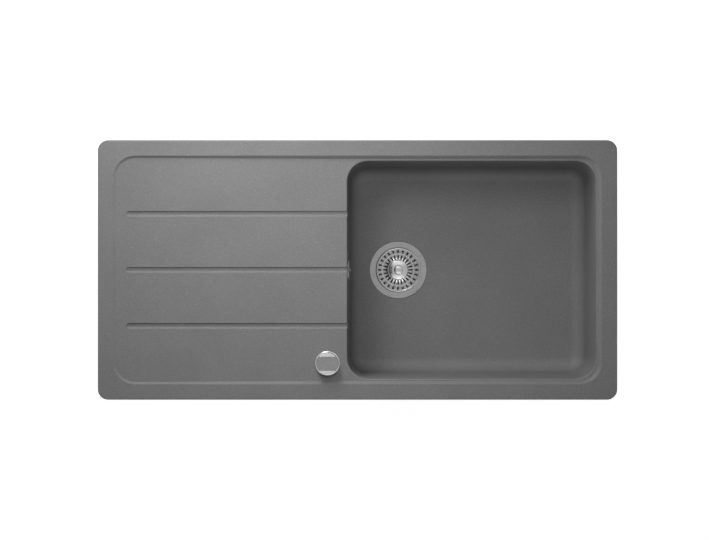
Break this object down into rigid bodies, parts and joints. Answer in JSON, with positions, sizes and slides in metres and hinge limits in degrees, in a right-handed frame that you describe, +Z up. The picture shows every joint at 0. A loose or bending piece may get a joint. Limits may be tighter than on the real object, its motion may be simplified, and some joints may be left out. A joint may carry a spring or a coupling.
{
  "type": "kitchen sink with drainboard",
  "caption": "Inset kitchen sink cast in one piece, with a deep bowl on the right, a grooved drainer on the left, a basket waste worked by a rotary knob, an overflow and swivelling fixing clips.",
  "frame": {"origin": "middle of the rim's outline on the worktop's surface, which is the underside of the rim", "axes": "+X from the drainer to the bowl along the long side, +Y to the back edge, +Z up"},
  "size_m": [1, 0.5, 0.3226],
  "materials": {
    "granite_composite": "grey granite composite, fine speckle, satin matt",
    "brass": "turned brass",
    "rubber": "black rubber",
    "polished_steel": "pressed and polished stainless steel",
    "steel": "zinc plated and stainless steel",
    "white_plastic": "moulded white polypropylene",
    "black_plastic": "moulded black plastic",
    "chrome": "satin chrome plating"
  },
  "bodies": {
    "sink": {"sink_body": "granite_composite", "clip_inserts": "brass", "flange_seal": "rubber", "waste_flange": "polished_steel", "cup_seal": "rubber", "waste_gasket": "rubber", "waste_body": "white_plastic", "centre_screw": "steel", "shaft_seal": "rubber", "shaft_bush": "black_plastic", "valve_housing": "black_plastic", "valve_cover": "black_plastic", "valve_screws": "steel", "valve_gland": "black_plastic", "control_seal": "rubber", "control_bushing": "black_plastic", "knob_rosette": "chrome", "control_washer": "steel", "control_nut": "brass", "drive_housing": "black_plastic", "drive_cover": "black_plastic", "drive_screws": "steel", "drive_gland": "black_plastic", "overflow_cover": "polished_steel", "overflow_screw": "steel", "overflow_gasket": "rubber", "overflow_elbow": "white_plastic", "overflow_pipe": "white_plastic", "slip_nut_upper": "white_plastic", "slip_seal_upper": "rubber", "slip_nut_lower": "white_plastic", "slip_seal_lower": "rubber"},
    "knob": {"control_knob": "chrome", "knob_set_screw": "steel", "spindle": "steel", "drive_drum": "black_plastic"},
    "cam": {"cam_shaft": "steel", "valve_drum": "black_plastic"},
    "pin": {"lift_pin": "steel"},
    "basket": {"strainer_basket": "polished_steel", "basket_knob": "polished_steel", "basket_plug": "black_plastic", "basket_seal": "rubber"},
    "screw_front_left": {"clip_screw_front_left": "steel"},
    "claw_front_left": {"clip_claw_front_left": "steel"},
    "screw_front_middle": {"clip_screw_front_middle": "steel"},
    "claw_front_middle": {"clip_claw_front_middle": "steel"},
    "screw_front_right": {"clip_screw_front_right": "steel"},
    "claw_front_right": {"clip_claw_front_right": "steel"},
    "screw_back_left": {"clip_screw_back_left": "steel"},
    "claw_back_left": {"clip_claw_back_left": "steel"},
    "screw_back_middle": {"clip_screw_back_middle": "steel"},
    "claw_back_middle": {"clip_claw_back_middle": "steel"},
    "screw_back_right": {"clip_screw_back_right": "steel"},
    "claw_back_right": {"clip_claw_back_right": "steel"},
    "screw_left_end": {"clip_screw_left_end": "steel"},
    "claw_left_end": {"clip_claw_left_end": "steel"},
    "screw_right_end": {"clip_screw_right_end": "steel"},
    "claw_right_end": {"clip_claw_right_end": "steel"}
  },
  "joints": [
    {"name": "knob_turn", "type": "hinge", "parent": "sink", "child": "knob", "pos_m": [-0.058, -0.18, 0.005], "axis": [0, 0, 1], "range_deg": [0, 90]},
    {"name": "cam_turn", "type": "hinge", "parent": "sink", "child": "cam", "pos_m": [0.082, 0, -0.2518], "axis": [0, -1, 0], "range_deg": [0, 90]},
    {"name": "pin_lift", "type": "slide", "parent": "sink", "child": "pin", "axis": [0, 0, 1], "range_m": [0, 0.009]},
    {"name": "basket_lift", "type": "slide", "parent": "pin", "child": "basket", "axis": [0, 0, 1], "range_m": [0, 0.26]},
    {"name": "clip_draw_front_left", "type": "slide", "parent": "sink", "child": "screw_front_left", "axis": [0, 0, 1], "range_m": [0, 0.018]},
    {"name": "clip_swing_front_left", "type": "hinge", "parent": "screw_front_left", "child": "claw_front_left", "pos_m": [-0.36, -0.229, -0.0575], "axis": [0, 0, -1], "range_deg": [0, 90]},
    {"name": "clip_draw_front_middle", "type": "slide", "parent": "sink", "child": "screw_front_middle", "axis": [0, 0, 1], "range_m": [0, 0.018]},
    {"name": "clip_swing_front_middle", "type": "hinge", "parent": "screw_front_middle", "child": "claw_front_middle", "pos_m": [0, -0.229, -0.0575], "axis": [0, 0, -1], "range_deg": [0, 90]},
    {"name": "clip_draw_front_right", "type": "slide", "parent": "sink", "child": "screw_front_right", "axis": [0, 0, 1], "range_m": [0, 0.018]},
    {"name": "clip_swing_front_right", "type": "hinge", "parent": "screw_front_right", "child": "claw_front_right", "pos_m": [0.36, -0.229, -0.0575], "axis": [0, 0, 1], "range_deg": [0, 90]},
    {"name": "clip_draw_back_left", "type": "slide", "parent": "sink", "child": "screw_back_left", "axis": [0, 0, 1], "range_m": [0, 0.018]},
    {"name": "clip_swing_back_left", "type": "hinge", "parent": "screw_back_left", "child": "claw_back_left", "pos_m": [-0.36, 0.229, -0.0575], "axis": [0, 0, 1], "range_deg": [0, 90]},
    {"name": "clip_draw_back_middle", "type": "slide", "parent": "sink", "child": "screw_back_middle", "axis": [0, 0, 1], "range_m": [0, 0.018]},
    {"name": "clip_swing_back_middle", "type": "hinge", "parent": "screw_back_middle", "child": "claw_back_middle", "pos_m": [0, 0.229, -0.0575], "axis": [0, 0, 1], "range_deg": [0, 90]},
    {"name": "clip_draw_back_right", "type": "slide", "parent": "sink", "child": "screw_back_right", "axis": [0, 0, 1], "range_m": [0, 0.018]},
    {"name": "clip_swing_back_right", "type": "hinge", "parent": "screw_back_right", "child": "claw_back_right", "pos_m": [0.36, 0.229, -0.0575], "axis": [0, 0, -1], "range_deg": [0, 90]},
    {"name": "clip_draw_left_end", "type": "slide", "parent": "sink", "child": "screw_left_end", "axis": [0, 0, 1], "range_m": [0, 0.018]},
    {"name": "clip_swing_left_end", "type": "hinge", "parent": "screw_left_end", "child": "claw_left_end", "pos_m": [-0.479, 0, -0.0575], "axis": [0, 0, 1], "range_deg": [0, 90]},
    {"name": "clip_draw_right_end", "type": "slide", "parent": "sink", "child": "screw_right_end", "axis": [0, 0, 1], "range_m": [0, 0.018]},
    {"name": "clip_swing_right_end", "type": "hinge", "parent": "screw_right_end", "child": "claw_right_end", "pos_m": [0.479, 0, -0.0575], "axis": [0, 0, -1], "range_deg": [0, 90]}
  ],
  "couplings": [
    {"joint": "cam_turn", "follows": "knob_turn", "ratio": 1},
    {"joint": "pin_lift", "follows": "knob_turn", "m_per_rad": 0.005729}
  ]
}
